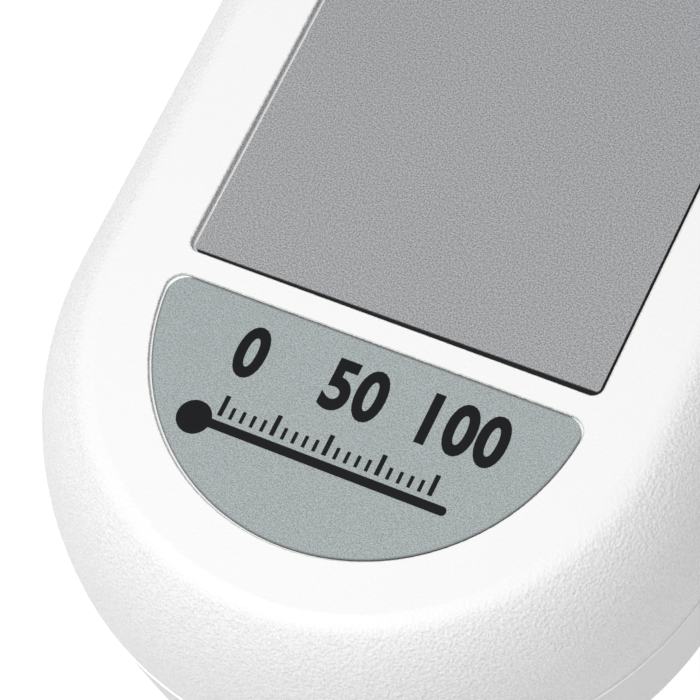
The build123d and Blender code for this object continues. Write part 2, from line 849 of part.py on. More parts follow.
def make_plates():
    low = cell_z - plate_height / 2
    high = cell_z + plate_height / 2

    def plate(first, last, y):
        return block(cell_places[first] - plate_width / 2, cell_places[last] + plate_width / 2,
                     y, y + plate_thickness, low, high)

    far_end = tray_high - plate_thickness
    plates = [
        plate(0, 0, far_end),
        plate(1, 2, far_end),
        plate(0, 1, tray_low),
        plate(2, 2, tray_low),
    ]
    tags = [
        block(x - tag_width / 2, x + tag_width / 2, y - plate_thickness / 2, y + plate_thickness / 2,
              high, tray_top + tag_rise)
        for x, y in tag_places
    ]
    return as_group([plates[0] + tags[0], plates[1], plates[2], plates[3] + tags[1]])


def make_battery_leads():
    board_back = board_top - board_thickness
    height = tray_top + tag_rise / 2
    leads = []
    starts = [tray_high, tray_low + plate_thickness]
    ends = [tray_high + battery_lead_run, board_low + battery_lead_run]
    for (x, _), start, end in zip(tag_places, starts, ends):
        points = [(x, start, height), (x, end, height), (x, end, board_back)]
        bend = min(battery_lead_bend, (board_back - height) * 0.9)
        leads.append(make_wire(points, bend, battery_lead))
    return as_group(leads)


# Battery door with its seal and two captive screws
def seal_ring(outer_margin, width, z_low, z_high):
    outer = rounded_plate(0, tray_y, tray_width + 2 * outer_margin, tray_length + 2 * outer_margin,
                          outer_margin, z_low, z_high)
    return outer - block(-tray_width / 2 - outer_margin + width, tray_width / 2 + outer_margin - width,
                         tray_low - outer_margin + width, tray_high + outer_margin - width,
                         z_low - 1, z_high + 1)


def countersunk_screw(x, y):
    head_z = door_screw_sink
    cone = Pos(x, y, head_z + door_screw_head_depth / 2) * Cone(
        door_screw_head / 2, door_screw_thread / 2, door_screw_head_depth)
    shank = post(x, y, door_screw_thread, head_z, head_z + door_screw_length)
    shank = chamfer(shank.edges().group_by(Axis.Z)[-1], door_screw_thread * 0.15)
    return cone + shank - cross_recess(x, y, head_z, door_screw_head * 0.6, 1.1)


def make_battery_door():
    door = rounded_plate(0, tray_y, door_width - 2 * moulding_gap, door_length - 2 * moulding_gap,
                         door_corner - moulding_gap, 0, door_thickness - thread_gap)
    door = door - seal_ring(seal_margin + seat_gap, seal_width + 2 * seat_gap,
                            door_thickness - seal_depth, door_thickness + 1)
    for x, y in door_screw_places:
        door = door - post(x, y, door_screw_thread + 2 * shank_gap, -1, door_thickness + 1)
        sink = door_screw_head_depth + door_screw_sink
        door = door - post(x, y, door_screw_head + 2 * slip_gap, -1, door_screw_sink)
        door = door - Pos(x, y, door_screw_sink + sink / 2) * Cone(
            door_screw_head / 2 + slip_gap, door_screw_thread / 2 + slip_gap, sink)
    return door


def make_door_seal():
    return seal_ring(seal_margin, seal_width, door_thickness - seal_depth, door_thickness - 2 * thread_gap)


def make_door_screws():
    return as_group([countersunk_screw(x, y) for x, y in door_screw_places])


def make_door_inserts():
    low = door_thickness + door_land
    inserts = []
    for x, y in door_screw_places:
        body = post(x, y, insert_diameter, low, low + insert_length)
        hole = post(x, y, door_screw_thread + 2 * slip_gap, low - 1, low + insert_length + 1)
        inserts.append(body - hole)
    return as_group(inserts)


rear_label_y = (tray_y + door_length / 2 + case_top - rear_round) / 2


def make_rear_label():
    return rounded_plate(0, rear_label_y, rear_label_width, rear_label_height, rear_label_corner,
                         rear_label_recess - rear_label_thickness, rear_label_recess)


parts_above = tail_y + circuit_thickness / 2 - connector_depth / 2 - parts_gap
chip_row = parts_above - processor_body / 2 - pin_reach
edge_column = board_width / 2 - capacitor_diameter / 2 - parts_gap
nodes = {
    "front_case": make_front_case(),
    "rear_case": make_rear_case(),
    "case_seal": make_case_seal(),
    "case_screws": make_case_screws(),
    "keypad_overlay": make_keypad_overlay(),
    "overlay_backing": make_overlay_backing(),
    "snap_domes": make_snap_domes(),
    "keypad_circuit": make_keypad_circuit(),
    "tail_connector": make_tail_connector(),
    "name_label": make_name_label(),
    "display_window": make_display_window(),
    "display_gasket": make_display_gasket(),
    "lcd_glass": make_lcd_glass(),
    "lcd_reflector": make_lcd_reflector(),
    "lcd_frame": make_lcd_frame(),
    "zebra_strips": make_zebra_strips(),
    "main_board": make_main_board(),
    "processor_chip": make_chip(-chip_x, chip_row, processor_body, 8),
    "converter_chip": make_chip(chip_x, chip_row, converter_body, 5),
    "crystal": make_crystal(chip_x, board_low + crystal_width / 2 + parts_gap),
    "capacitors": make_capacitors([(-edge_column, chip_row), (edge_column, chip_row)]),
    "resistors": make_resistors(0, chip_row - 4 * resistor_pitch, 6),
    "board_screws": make_board_screws(),
    "socket_shell": make_socket_shell(),
    "socket_insert": make_socket_insert(),
    "socket_contacts": make_socket_contacts(),
    "socket_nut": make_socket_nut(),
    "socket_oring": make_socket_oring(),
    "probe_leads": make_probe_leads(),
    "battery_springs": as_group([make_spring(index) for index in range(cell_count)]),
    "battery_plates": make_plates(),
    "battery_leads": make_battery_leads(),
    "battery_door": make_battery_door(),
    "door_seal": make_door_seal(),
    "door_screws": make_door_screws(),
    "door_inserts": make_door_inserts(),
    "rear_label": make_rear_label(),
}
for name, (x, y) in zip(key_names, key_places):
    nodes[name] = make_key(x, y)
for index in range(cell_count):
    nodes[f"battery_cell_{index + 1}"] = make_cell(index)

os.makedirs("parts", exist_ok=True)
for name, shape in nodes.items():
    export_step(shape, f"parts/{name}.step")
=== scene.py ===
import json
import math
import bpy
from mathutils import Matrix, Vector

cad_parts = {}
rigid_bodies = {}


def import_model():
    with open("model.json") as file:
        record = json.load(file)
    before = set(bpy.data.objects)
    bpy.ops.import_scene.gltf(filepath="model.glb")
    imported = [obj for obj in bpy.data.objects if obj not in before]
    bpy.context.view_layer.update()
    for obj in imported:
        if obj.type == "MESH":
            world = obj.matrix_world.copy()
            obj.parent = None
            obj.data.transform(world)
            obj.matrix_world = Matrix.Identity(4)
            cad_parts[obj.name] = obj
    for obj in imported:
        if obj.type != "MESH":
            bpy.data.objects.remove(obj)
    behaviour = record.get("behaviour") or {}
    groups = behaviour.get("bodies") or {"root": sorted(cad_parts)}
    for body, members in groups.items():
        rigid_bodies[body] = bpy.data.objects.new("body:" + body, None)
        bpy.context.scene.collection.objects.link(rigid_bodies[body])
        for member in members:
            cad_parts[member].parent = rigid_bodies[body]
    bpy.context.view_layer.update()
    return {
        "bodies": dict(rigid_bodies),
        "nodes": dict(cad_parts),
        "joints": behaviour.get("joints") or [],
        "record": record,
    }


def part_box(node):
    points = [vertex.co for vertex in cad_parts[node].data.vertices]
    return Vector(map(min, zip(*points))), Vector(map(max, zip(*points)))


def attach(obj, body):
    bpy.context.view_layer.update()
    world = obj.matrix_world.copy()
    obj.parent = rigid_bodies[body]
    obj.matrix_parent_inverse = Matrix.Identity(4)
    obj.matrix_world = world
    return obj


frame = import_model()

mm = 0.001
nodes = frame["nodes"]
print("frame loaded:", len(nodes), "nodes")


# Object helpers

def selectNothing():
    if bpy.context.object and bpy.context.object.mode != "OBJECT":
        bpy.ops.object.mode_set(mode="OBJECT")
    bpy.ops.object.select_all(action="DESELECT")


def selectOnly(piece):
    selectNothing()
    piece.select_set(True)
    bpy.context.view_layer.objects.active = piece


def settle(piece):  # the place goes into the mesh
    selectOnly(piece)
    bpy.ops.object.transform_apply(location=True, rotation=True, scale=True)
    return piece


def finishModifier(piece, kind, **values):
    modifier = piece.modifiers.new(kind.title(), kind)
    for key, value in values.items():
        setattr(modifier, key, value)
    selectOnly(piece)
    bpy.ops.object.modifier_apply(modifier=modifier.name)


def pickFaces(piece, test):  # in edit mode, by centre and normal
    bpy.ops.object.mode_set(mode="EDIT")
    bpy.ops.mesh.select_mode(type="FACE")
    bpy.ops.object.mode_set(mode="OBJECT")
    for face in piece.data.polygons:
        face.select = test(face)
    bpy.ops.object.mode_set(mode="EDIT")


def pickEdges(piece, test):  # in edit mode, by the two ends
    bpy.ops.object.mode_set(mode="EDIT")
    bpy.ops.mesh.select_mode(type="EDGE")
    bpy.ops.object.mode_set(mode="OBJECT")
    points = piece.data.vertices
    for point in points:
        point.select = False
    for face in piece.data.polygons:
        face.select = False
    for edge in piece.data.edges:
        edge.select = test(points[edge.vertices[0]].co, points[edge.vertices[1]].co)
    bpy.ops.object.mode_set(mode="EDIT")


def joinPieces(name, pieces):
    selectNothing()
    for piece in pieces:
        piece.select_set(True)
    bpy.context.view_layer.objects.active = pieces[0]
    if len(pieces) > 1:
        bpy.ops.object.join()
    joined = bpy.context.view_layer.objects.active
    joined.name = name
    joined.data.name = name
    return joined


def movePiece(piece, *move):  # by millimetres, in the mesh
    piece.data.transform(Matrix.Translation([step * mm for step in move]))


def setPiece(piece, place):  # from the origin to a place in metres
    piece.data.transform(Matrix.Translation(place))


def copyPiece(piece):
    twin = piece.copy()
    twin.data = piece.data.copy()
    bpy.context.collection.objects.link(twin)
    return twin


def addPiece(piece, body, material):
    piece.data.materials.clear()
    piece.data.materials.append(material)
    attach(piece, body)


# Shader maths

class Value:  # a shader output that works in an expression
    def __init__(self, tree, socket):
        self.tree = tree
        self.socket = socket

    def maths(self, operation, *others):
        node = self.tree.nodes.new("ShaderNodeMath")
        node.operation = operation
        for slot, item in zip(node.inputs, (self,) + others):
            join(self.tree, slot, item)
        return Value(self.tree, node.outputs[0])

    def __add__(self, other):
        return self.maths("ADD", other)

    def __sub__(self, other):
        return self.maths("SUBTRACT", other)

    def __rsub__(self, other):
        return (self * -1) + other

    def __mul__(self, other):
        return self.maths("MULTIPLY", other)

    def __truediv__(self, other):
        return self.maths("DIVIDE", other)

    def __lt__(self, other):
        return self.maths("LESS_THAN", other)

    def __gt__(self, other):
        return self.maths("GREATER_THAN", other)

    def clamp(self):
        return self.maths("MINIMUM", 1).maths("MAXIMUM", 0)


def join(tree, slot, item):
    if isinstance(item, Value):
        tree.links.new(item.socket, slot)
    else:
        slot.default_value = item


class Finish:  # one procedural material round a Principled shader
    def __init__(self, name, **constants):
        self.material = bpy.data.materials.new(name)
        self.material.use_nodes = True
        self.tree = self.material.node_tree
        self.shader = self.tree.nodes["Principled BSDF"]
        for key, value in constants.items():
            self.shader.inputs[key.replace("_", " ")].default_value = value

    def node(self, kind, settings=None, output=0, **inputs):
        made = self.tree.nodes.new("ShaderNode" + kind)
        for key, value in (settings or {}).items():
            setattr(made, key, value)
        for label, item in inputs.items():
            join(self.tree, made.inputs[label], item)
        return Value(self.tree, made.outputs[output])

    def place(self, centre=(0, 0, 0)):  # object coordinates in millimetres round a centre
        here = self.node("TexCoord", output="Object")
        return self.node("Mapping", {"vector_type": "TEXTURE"}, Vector=here, Location=centre,
                         Scale=(mm, mm, mm))

    def stretch(self, place, factors):
        made = self.node("VectorMath", {"operation": "MULTIPLY"})
        join(self.tree, made.socket.node.inputs[0], place)
        join(self.tree, made.socket.node.inputs[1], factors)
        return made

    def axes(self, place):
        split = self.node("SeparateXYZ", Vector=place)
        return [Value(self.tree, split.socket.node.outputs[index]) for index in range(3)]

    def noise(self, place, scale, detail=2.0, roughness=0.5):
        return self.node("TexNoise", Vector=place, Scale=scale, Detail=detail, Roughness=roughness)

    def cells(self, place, scale, feature="SMOOTH_F1", **inputs):
        return self.node("TexVoronoi", {"feature": feature}, Vector=place, Scale=scale, **inputs)

    def blend(self, factor, first, second):  # two colours by a factor
        mixed = self.node("Mix", {"data_type": "RGBA"}, output=2, Factor=factor)
        made = mixed.socket.node
        join(self.tree, made.inputs[6], first)
        join(self.tree, made.inputs[7], second)
        return mixed

    def feed(self, label, item):
        join(self.tree, self.shader.inputs[label], item)

    def bump(self, height, distance):
        self.feed("Normal", self.node("Bump", Height=height, Distance=distance * mm, Strength=1.0))


def grey(level):
    return (level, level, level, 1.0)


def tone(shade, gain=1.0, lift=0.0):
    return tuple(part * gain + lift for part in shade) + (1.0,)


def spread(value, low, high):  # a 0..1 value between two numbers
    return value * (high - low) + low


def around(value, middle, reach):  # a 0..1 value as far to either side of a middle
    return spread(value, middle - reach, middle + reach)


# Camera and light

cameraView = {
    "place": (109.9, -153.7, 349.1),   # millimetres
    "target": (-2.17, -36.43, 32.0),
    "roll": 20.095,                    # degrees, the picture turned clockwise
    "lens": 194.5,
    "sensor": 36.0,
}


def makeCamera(view):
    data = bpy.data.cameras.new("closeCamera")
    data.lens = view["lens"]
    data.sensor_width = view["sensor"]
    data.clip_start = 0.01
    data.clip_end = 20
    camera = bpy.data.objects.new("closeCamera", data)
    bpy.context.scene.collection.objects.link(camera)
    place = Vector(view["place"]) * mm
    aim = (Vector(view["target"]) * mm - place).to_track_quat("-Z", "Y").to_matrix()
    turned = aim @ Matrix.Rotation(math.radians(-view["roll"]), 3, "Z")
    camera.matrix_world = Matrix.Translation(place) @ turned.to_4x4()
    bpy.context.scene.camera = camera


lightSet = {
    "key": {"place": (-125, -195, 785), "size": 450, "power": 5.75},
}
roomLight = 0.28
floorCard = {"glow": 0.89, "shade": 0.20, "drift": 0.02, "size": 4, "drop": 0.2}


def makeLights():
    for name, light in lightSet.items():
        data = bpy.data.lights.new(name, "AREA")
        data.size = light["size"] * mm
        data.energy = light["power"]
        lamp = bpy.data.objects.new(name, data)
        bpy.context.scene.collection.objects.link(lamp)
        lamp.location = Vector(light["place"]) * mm
        lamp.rotation_euler = (-lamp.location).to_track_quat("-Z", "Y").to_euler()
    world = bpy.data.worlds.new("softRoom")
    bpy.context.scene.world = world
    world.use_nodes = True
    world.node_tree.nodes["Background"].inputs["Color"].default_value = grey(1.0)
    world.node_tree.nodes["Background"].inputs["Strength"].default_value = roomLight
    bpy.context.scene.view_settings.view_transform = "Standard"


def makeFloor(card):
    finish = Finish("paleFloor", Roughness=0.9, Emission_Color=grey(1.0),
                    Emission_Strength=card["glow"])
    cloud = finish.noise(finish.place(), 0.02)
    finish.feed("Base Color", finish.blend(cloud, grey(card["shade"] - card["drift"]),
                                           grey(card["shade"] + card["drift"])))
    selectNothing()
    bpy.ops.mesh.primitive_plane_add(size=card["size"])
    floor = bpy.context.object
    floor.name = "floor"
    floor.location.z = -card["drop"] * mm
    floor.data.materials.append(finish.material)


makeCamera(cameraView)
makeLights()
makeFloor(floorCard)
print("camera, lights and floor")


# Finishes

# painted highlight: a lighter band on the upper edge of the rear half, where the parting line catches
# light
partingHighlight = {"width": 0.08, "shade": (0.87, 0.87, 0.87)}   # bright upper edge of the rear half
mouldLook = {
    "slopeGain": 8,       # how soon the grain is full as the surface turns from flat
    "flatSpots": 0.15,    # share of the speckle and of the pits that the flat face keeps
    "flatPits": 0.12,
    "pitBlur": 0.6,
    "lift": 0.7,          # share of the speckle added to the colour between the pits on the crown: painted light that brightens the sloping crown
    "tint": 0.985,
    "tintSize": 0.06,
    "spotGain": -4,
    "roughSpread": 0.10,
}


def mouldedPlastic(name, shade, pitSize, pitDepth, rough, speckle, edgeHeight=None):
    look = mouldLook
    finish = Finish(name, IOR=1.5)
    here = finish.place()
    facing = finish.axes(finish.node("TexCoord", output="Normal"))[2]
    slope = ((1 - facing) * look["slopeGain"]).clamp()  # the flat face gets fainter pits and speckle than the crown; the colour speckle is painted shade of the pits
    pits = finish.cells(here, 1 / pitSize, Smoothness=look["pitBlur"])
    grain = finish.noise(here, 2.0 / pitSize, 3.0, 0.6)
    tint = finish.noise(here, look["tintSize"], 2.0)
    fresh = finish.blend(tint, tone(shade, look["tint"]), tone(shade))
    # painted light: between the pits the sloping crown is coloured lighter
    fresh = finish.blend(slope, fresh, tone(shade, 1 + speckle * look["lift"]))
    # painted shade: dark colour speckle for the shaded pits, strongest on the crown
    pitShade = ((grain - 0.5) * look["spotGain"] + 0.5).clamp() * spread(slope, look["flatSpots"], 1.0)
    shaded = finish.blend(pitShade, fresh, tone(shade, 1 - speckle))
    # painted highlight: the top of the rear half, along the parting line, is coloured lighter
    if edgeHeight:
        rim = finish.axes(here)[2] > edgeHeight - partingHighlight["width"]
        shaded = finish.blend(rim, shaded, tone(partingHighlight["shade"]))
    finish.feed("Base Color", shaded)
    finish.feed("Roughness", around(grain, rough, look["roughSpread"]))
    finish.bump((pits * 0.5 + grain * 0.5) * spread(slope, look["flatPits"], 1.0), pitDepth)
    return finish.material


filmLook = {"sharpness": 2.6, "driftSize": 0.05, "drift": 0.12, "roughSpread": -0.05}


def filmGrain(finish, here, shade, contrast, grainSize, depth, rough):  # gives the speckled colour
    grain = finish.noise(here, 1 / grainSize, 1.5, 0.5)
    sharp = ((grain - 0.5) * filmLook["sharpness"] + 0.5).clamp()
    drift = finish.noise(here, filmLook["driftSize"], 1.0)
    low = tone(shade, 1 - contrast)
    speckled = finish.blend(sharp, low, tone(shade, 1 + contrast))
    finish.feed("Roughness", around(sharp, rough, filmLook["roughSpread"]))
    finish.bump(grain, depth)
    return finish.blend(drift * filmLook["drift"], speckled, low)


def grainedFilm(name, shade, contrast, grainSize, depth, rough):  # textured printed film
    finish = Finish(name, IOR=1.5)
    here = finish.place()
    finish.feed("Base Color", filmGrain(finish, here, shade, contrast, grainSize, depth, rough))
    return finish.material


# painted shade along the label's edge
labelEdgeShade = {"width": 0.22, "shade": (0.09, 0.10, 0.10)}


def labelSkin(name, shade, contrast, grainSize, depth, rough):  # a film with painted shade along its edge, for the narrow gap round it
    low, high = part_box("name_label")
    radius = (high.y - low.y) / mm
    finish = Finish(name, IOR=1.5)
    here = finish.place(((low.x + high.x) / 2, high.y, 0))
    x, y, z = finish.axes(here)
    reach = (x * x + y * y).maths("SQRT")
    inside = (radius - reach).maths("MINIMUM", y * -1)           # millimetres in from the edge
    # painted shade: a dark band along the film's edge where the gap round the label lies in shadow
    edgeShade = (1 - inside / labelEdgeShade["width"]).clamp()
    film = filmGrain(finish, here, shade, contrast, grainSize, depth, rough)
    finish.feed("Base Color", finish.blend(edgeShade, film, tone(labelEdgeShade["shade"])))
    return finish.material


def plainPlastic(name, shade, rough, mottle=0.06, pitSize=0.4, depth=0.01, coat=0.0, shine=0.5):
    finish = Finish(name, IOR=1.5, Coat_Weight=coat, Specular_IOR_Level=shine)
    here = finish.place()
    fine = finish.noise(here, 1 / pitSize, 2.0)
    finish.feed("Base Color", finish.blend(fine, tone(shade, 1 - mottle), tone(shade, 1 + mottle)))
    finish.feed("Roughness", around(fine, rough, 0.05))
    finish.bump(fine, depth)
    return finish.material


def workedMetal(name, shade, rough, lineSize=0.12, depth=0.004, across=(1.0, 1.0, 0.08)):
    finish = Finish(name, Metallic=1.0)
    here = finish.place()
    lines = finish.noise(finish.stretch(here, across), 1 / lineSize, 3.0, 0.6)
    smear = finish.noise(here, 0.35, 2.0)
    finish.feed("Base Color", finish.blend(smear, tone(shade, 0.9), tone(shade)))
    finish.feed("Roughness", (around(lines, rough, 0.06) + smear * 0.08 - 0.04).clamp())
    finish.bump(lines, depth)
    return finish.material


def rubberSkin(name, shade, rough=0.75):
    finish = Finish(name, IOR=1.45, Sheen_Weight=0.15)
    here = finish.place()
    bloom = finish.noise(here, 0.8, 3.0)
    finish.feed("Base Color", finish.blend(bloom, tone(shade), tone(shade, 1.5, 0.01)))
    finish.feed("Roughness", around(bloom, rough, 0.08))
    finish.bump(finish.noise(here, 4.0, 3.0), 0.01)
    return finish.material


def clearAcrylic(name):
    finish = Finish(name, Roughness=0.04, IOR=1.49, Base_Color=tone((0.60, 0.64, 0.64)), Coat_Weight=0.3)
    here = finish.place()
    haze = finish.noise(here, 0.5, 3.0)
    finish.feed("Alpha", spread(haze, 0.06, 0.09))
    finish.feed("Roughness", spread(haze, 0.03, 0.07))
    return finish.material


def displayGlass(name):
    finish = Finish(name, IOR=1.5, Coat_Weight=0.5)
    here = finish.place()
    x, y, z = finish.axes(here)
    cloud = finish.noise(here, 0.15, 2.0)
    columns = ((x * 2.0).maths("FRACT") < 0.08) * 0.03
    shade = finish.blend(cloud, tone((0.285, 0.325, 0.265)), tone((0.305, 0.345, 0.285)))
    finish.feed("Base Color", finish.blend(columns, shade, tone((0.15, 0.17, 0.15))))
    finish.feed("Roughness", spread(cloud, 0.22, 0.30))
    return finish.material


def boardLaminate(name):
    finish = Finish(name, IOR=1.5, Coat_Weight=0.3)
    here = finish.place()
    x, y, z = finish.axes(here)
    lanes = ((x * 0.8 + finish.noise(here, 0.12, 1.0) * 3).maths("FRACT") < 0.35) * 1.0
    pads = finish.cells(here, 0.35, "F1", Randomness=0.3) < 0.10
    solder = finish.blend(lanes, tone((0.015, 0.14, 0.05)), tone((0.03, 0.22, 0.08)))
    finish.feed("Base Color", finish.blend(pads, solder, tone((0.72, 0.66, 0.45))))
    finish.feed("Metallic", pads * 0.8)
    finish.feed("Roughness", spread(lanes, 0.30, 0.38))
    finish.bump(lanes + pads, 0.03)
    return finish.material


def zebraRubber(name):
    finish = Finish(name, IOR=1.45)
    x, y, z = finish.axes(finish.place())
    layers = (x * 5.0).maths("FRACT") < 0.5
    finish.feed("Base Color", finish.blend(layers, tone((0.62, 0.60, 0.58)), grey(0.03)))
    finish.feed("Roughness", spread(layers, 0.5, 0.7))
    return finish.material


cellLook = {
    "nub": 0.8,
    "band": 11.0,
    "bare": 0.45,
    "jacket": (0.02, 0.045, 0.13),
    "bandShade": (0.62, 0.63, 0.65),
    "can": (0.70, 0.70, 0.68),
}


def cellJacket(name, node, plusUp):  # printed sleeve with a silver band at the positive end
    low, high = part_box(node)
    finish = Finish(name, IOR=1.5)
    here = finish.place()
    x, y, z = finish.axes(here)
    reach = (y - low.y / mm) if not plusUp else (y * -1 + high.y / mm)  # from the positive end
    length = (high.y - low.y) / mm
    band = reach < cellLook["band"]
    nearEnd = reach < cellLook["nub"] + cellLook["bare"]
    bare = nearEnd.maths("MAXIMUM", reach > length - cellLook["bare"])
    fine = finish.noise(here, 0.7, 2.0)
    sleeve = finish.blend(band, tone(cellLook["jacket"]), tone(cellLook["bandShade"]))
    finish.feed("Base Color", finish.blend(bare, sleeve, tone(cellLook["can"])))
    finish.feed("Metallic", bare.maths("MAXIMUM", band * 0.7))
    finish.feed("Roughness", spread(fine, 0.24, 0.36))
    finish.feed("Coat Weight", (1 - bare) * 0.4)
    return finish.material


finishes = {
    "whiteCasing": mouldedPlastic("whiteCasing", (0.845, 0.845, 0.843), 0.36, 0.20, 0.50, 0.10),
    # the rear half has a lower shade than the front: painted shade for the side walls, which face away
    # from the overhead light; the battery door takes the same tone
    "rearCasing": mouldedPlastic("rearCasing", (0.71, 0.71, 0.712), 0.40, 0.04, 0.48, 0.015,
                                 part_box("rear_case")[1].z / mm),
    "doorCasing": mouldedPlastic("doorCasing", (0.715, 0.715, 0.717), 0.45, 0.06, 0.50, 0.015),
    "greyFilm": grainedFilm("greyFilm", (0.316, 0.323, 0.335), 0.48, 0.15, 0.02, 0.48),
    "labelFilm": labelSkin("labelFilm", (0.318, 0.358, 0.360), 0.36, 0.135, 0.012, 0.50),
    "rearLabelFilm": grainedFilm("rearLabelFilm", (0.62, 0.63, 0.64), 0.04, 0.20, 0.006, 0.38),
    "blackLayer": plainPlastic("blackLayer", (0.012, 0.012, 0.013), 0.6, 0.2, shine=0.1),
    "keyCap": plainPlastic("keyCap", (0.085, 0.095, 0.105), 0.42, 0.08, 0.25, 0.012),
    "ink": plainPlastic("ink", (0.0065, 0.0068, 0.008), 0.5, 0.25, 0.3, 0.004, shine=0.1),
    "whiteInk": plainPlastic("whiteInk", (0.80, 0.80, 0.80), 0.5, 0.03, 0.3, 0.004),
    "segmentInk": plainPlastic("segmentInk", (0.010, 0.012, 0.014), 0.35, 0.1, 0.3, 0.002, shine=0.2),
    "borderInk": plainPlastic("borderInk", (0.055, 0.060, 0.066), 0.5, 0.10, 0.3, 0.006, shine=0.3),
    "sealRubber": rubberSkin("sealRubber", (0.03, 0.03, 0.033)),
    "foam": rubberSkin("foam", (0.012, 0.012, 0.012), 0.9),
    "platedSteel": workedMetal("platedSteel", (0.62, 0.62, 0.63), 0.33),
    "springSteel": workedMetal("springSteel", (0.68, 0.67, 0.66), 0.26),
    "canMetal": workedMetal("canMetal", (0.70, 0.70, 0.69), 0.30),
    "nickel": workedMetal("nickel", (0.66, 0.65, 0.63), 0.24, 0.10, 0.003, (1.0, 0.08, 1.0)),
    "gold": workedMetal("gold", (0.90, 0.66, 0.28), 0.22),
    "brass": workedMetal("brass", (0.78, 0.60, 0.28), 0.30),
    "foil": workedMetal("foil", (0.74, 0.76, 0.72), 0.42),
    "circuitFilm": plainPlastic("circuitFilm", (0.60, 0.27, 0.05), 0.30, 0.12, 1.2, 0.006, 0.3),
    "connector": plainPlastic("connector", (0.78, 0.74, 0.62), 0.45, 0.03),
    "framePlastic": plainPlastic("framePlastic", (0.025, 0.025, 0.028), 0.48, 0.15),
    "chip": plainPlastic("chip", (0.018, 0.018, 0.020), 0.55, 0.3, 0.15, 0.006),
    "capacitor": plainPlastic("capacitor", (0.03, 0.04, 0.10), 0.28, 0.1, 0.8, 0.003, 0.4),
    "resistor": plainPlastic("resistor", (0.05, 0.05, 0.06), 0.35, 0.3, 0.3, 0.004, 0.3),
    "insulator": plainPlastic("insulator", (0.020, 0.020, 0.021), 0.50, 0.2, 0.3, 0.006),
    "whiteLead": plainPlastic("whiteLead", (0.70, 0.70, 0.66), 0.38, 0.04, 0.8, 0.004),
    "redLead": plainPlastic("redLead", (0.50, 0.03, 0.02), 0.38, 0.1, 0.8, 0.004),
    "acrylic": clearAcrylic("acrylic"),
    "displayGlass": displayGlass("displayGlass"),
    "board": boardLaminate("board"),
    "zebra": zebraRubber("zebra"),
}
nodeFinish = {
    "front_case": "whiteCasing",
    "rear_case": "rearCasing",
    "battery_door": "doorCasing",
    "keypad_overlay": "greyFilm",
    "name_label": "labelFilm",
    "rear_label": "rearLabelFilm",
    "overlay_backing": "blackLayer",
    "power_key": "keyCap",
    "hold_key": "keyCap",
    "max_min_key": "keyCap",
    "case_seal": "sealRubber",
    "door_seal": "sealRubber",
    "socket_oring": "sealRubber",
    "display_gasket": "foam",
    "case_screws": "platedSteel",
    "board_screws": "platedSteel",
    "door_screws": "platedSteel",
    "snap_domes": "springSteel",
    "battery_springs": "springSteel",
    "battery_plates": "springSteel",
    "crystal": "canMetal",
    "socket_shell": "nickel",
    "socket_nut": "nickel",
    "socket_contacts": "gold",
    "door_inserts": "brass",
    "lcd_reflector": "foil",
    "keypad_circuit": "circuitFilm",
    "tail_connector": "connector",
    "lcd_frame": "framePlastic",
    "processor_chip": "chip",
    "converter_chip": "chip",
    "capacitors": "capacitor",
    "resistors": "resistor",
    "socket_insert": "insulator",
    "probe_leads": "whiteLead",
    "battery_leads": "redLead",
    "display_window": "acrylic",
    "lcd_glass": "displayGlass",
    "main_board": "board",
    "zebra_strips": "zebra",
}
for index in range(3):
    node = f"battery_cell_{index + 1}"
    finishes[node] = cellJacket(node + "Jacket", node, index % 2 == 0)
    nodeFinish[node] = node
for node, finish in nodeFinish.items():
    nodes[node].data.materials.clear()
    nodes[node].data.materials.append(finishes[finish])
print("finishes on", len(nodeFinish), "nodes")


# Flat marks: thin printed or moulded shapes

def flatBar(width, height, corner, thickness):  # a bar round the origin, its vertical edges rounded
    selectNothing()
    bpy.ops.mesh.primitive_cube_add(size=1, scale=(width * mm, height * mm, thickness * mm))
    bar = settle(bpy.context.object)
    pickEdges(bar, lambda one, two: abs(one.z - two.z) > thickness * mm * 0.5)
    bpy.ops.mesh.bevel(offset=corner * mm, segments=4)
    bpy.ops.object.mode_set(mode="OBJECT")
    return bar


def flatRing(outer, inner, thickness, sides, start=0.0, sweep=360.0):  # a ring or an open arc
    selectNothing()
    bpy.ops.mesh.primitive_cube_add(size=1, location=((outer + inner) / 2 * mm, 0, 0),
                                    scale=((outer - inner) * mm, 0.01 * mm, thickness * mm))
    ring = settle(bpy.context.object)
    pickFaces(ring, lambda face: face.normal.y > 0.5)
    bpy.ops.mesh.select_all(action="INVERT")
    bpy.ops.mesh.delete(type="FACE")
    bpy.ops.mesh.select_all(action="SELECT")
    bpy.ops.mesh.spin(steps=sides, angle=math.radians(sweep), center=(0, 0, 0), axis=(0, 0, 1),
                      use_auto_merge=True)
    bpy.ops.mesh.select_all(action="SELECT")
    bpy.ops.mesh.remove_doubles(threshold=0.002 * mm)
    bpy.ops.mesh.normals_make_consistent(inside=False)
    bpy.ops.object.mode_set(mode="OBJECT")
    ring.data.transform(Matrix.Rotation(math.radians(start), 4, "Z"))
    return ring


def flatRound(radius, thickness, sides=64):  # a disc, its top face inset a little at the rim
    selectNothing()
    bpy.ops.mesh.primitive_cylinder_add(vertices=sides, radius=radius * mm, depth=thickness * mm)
    disc = settle(bpy.context.object)
    pickFaces(disc, lambda face: face.normal.z > 0.9)
    bpy.ops.mesh.inset(thickness=radius * 0.02 * mm, depth=0)
    bpy.ops.object.mode_set(mode="OBJECT")
    return disc


def flatWriting(text, size, boldness, spacing, thickness):  # digits as a flat mesh round the origin
    selectNothing()
    bpy.ops.object.text_add()
    writing = bpy.context.object
    writing.data.body = text
    writing.data.align_x = "CENTER"
    writing.data.align_y = "CENTER"
    writing.data.size = size * mm
    writing.data.space_character = spacing
    writing.data.offset = boldness * mm
    writing.data.extrude = thickness / 2 * mm
    writing.data.resolution_u = 6
    bpy.ops.object.convert(target="MESH")
    return settle(bpy.context.object)


# Print on the name label: numbers over a lying thermometer scale

